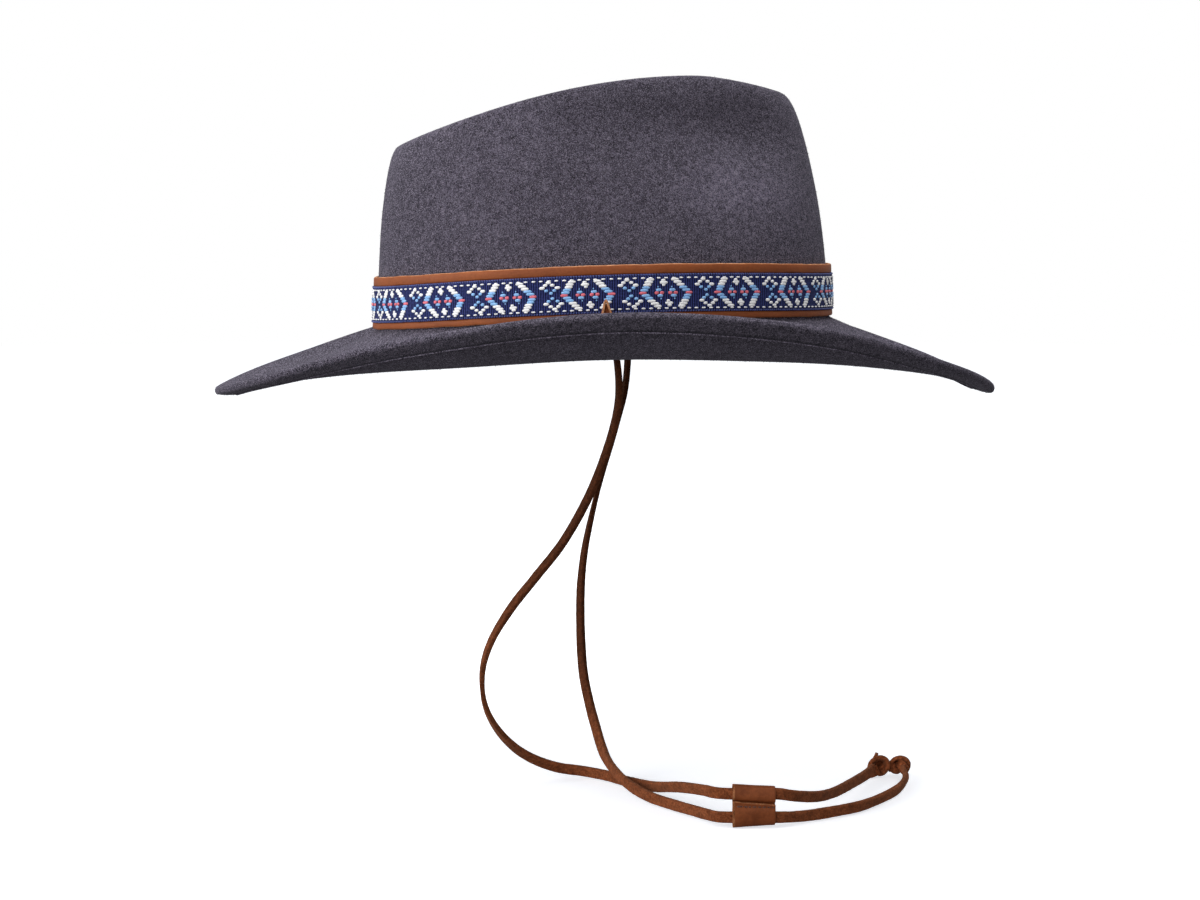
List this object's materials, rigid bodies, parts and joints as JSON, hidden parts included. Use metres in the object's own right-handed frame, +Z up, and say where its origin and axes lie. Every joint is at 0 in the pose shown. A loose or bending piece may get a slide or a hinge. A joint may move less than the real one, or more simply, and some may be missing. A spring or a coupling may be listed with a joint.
{
  "type": "felt hat",
  "caption": "Wide-brimmed felt hat with a pinched teardrop crown, a brim edge turned under, a leather band under a woven ribbon, and a chin strap of flat laces that share a leather slider.",
  "frame": {"origin": "centre of the head opening, level with the fold where crown and brim meet, where a head holds the hat", "axes": "+X towards the front of the hat, +Y towards the wearer's left, +Z up"},
  "size_m": [0.3523, 0.317, 0.3206],
  "materials": {
    "felt": "charcoal felt, short matt nap",
    "band_leather": "smooth saddle leather, raw edges",
    "ribbon_weave": "woven ribbon with raised pattern floats",
    "lace_suede": "suede lace, matt, cut edges",
    "slider_leather": "smooth leather, satin"
  },
  "bodies": {
    "root": {"felt_body": "felt", "leather_band": "band_leather", "woven_ribbon": "ribbon_weave", "lace_right": "lace_suede", "lace_left": "lace_suede", "slider": "slider_leather", "end_knot_right": "lace_suede", "end_knot_left": "lace_suede", "stopper_knot_right": "lace_suede", "stopper_knot_left": "lace_suede"}
  },
  "joints": []
}
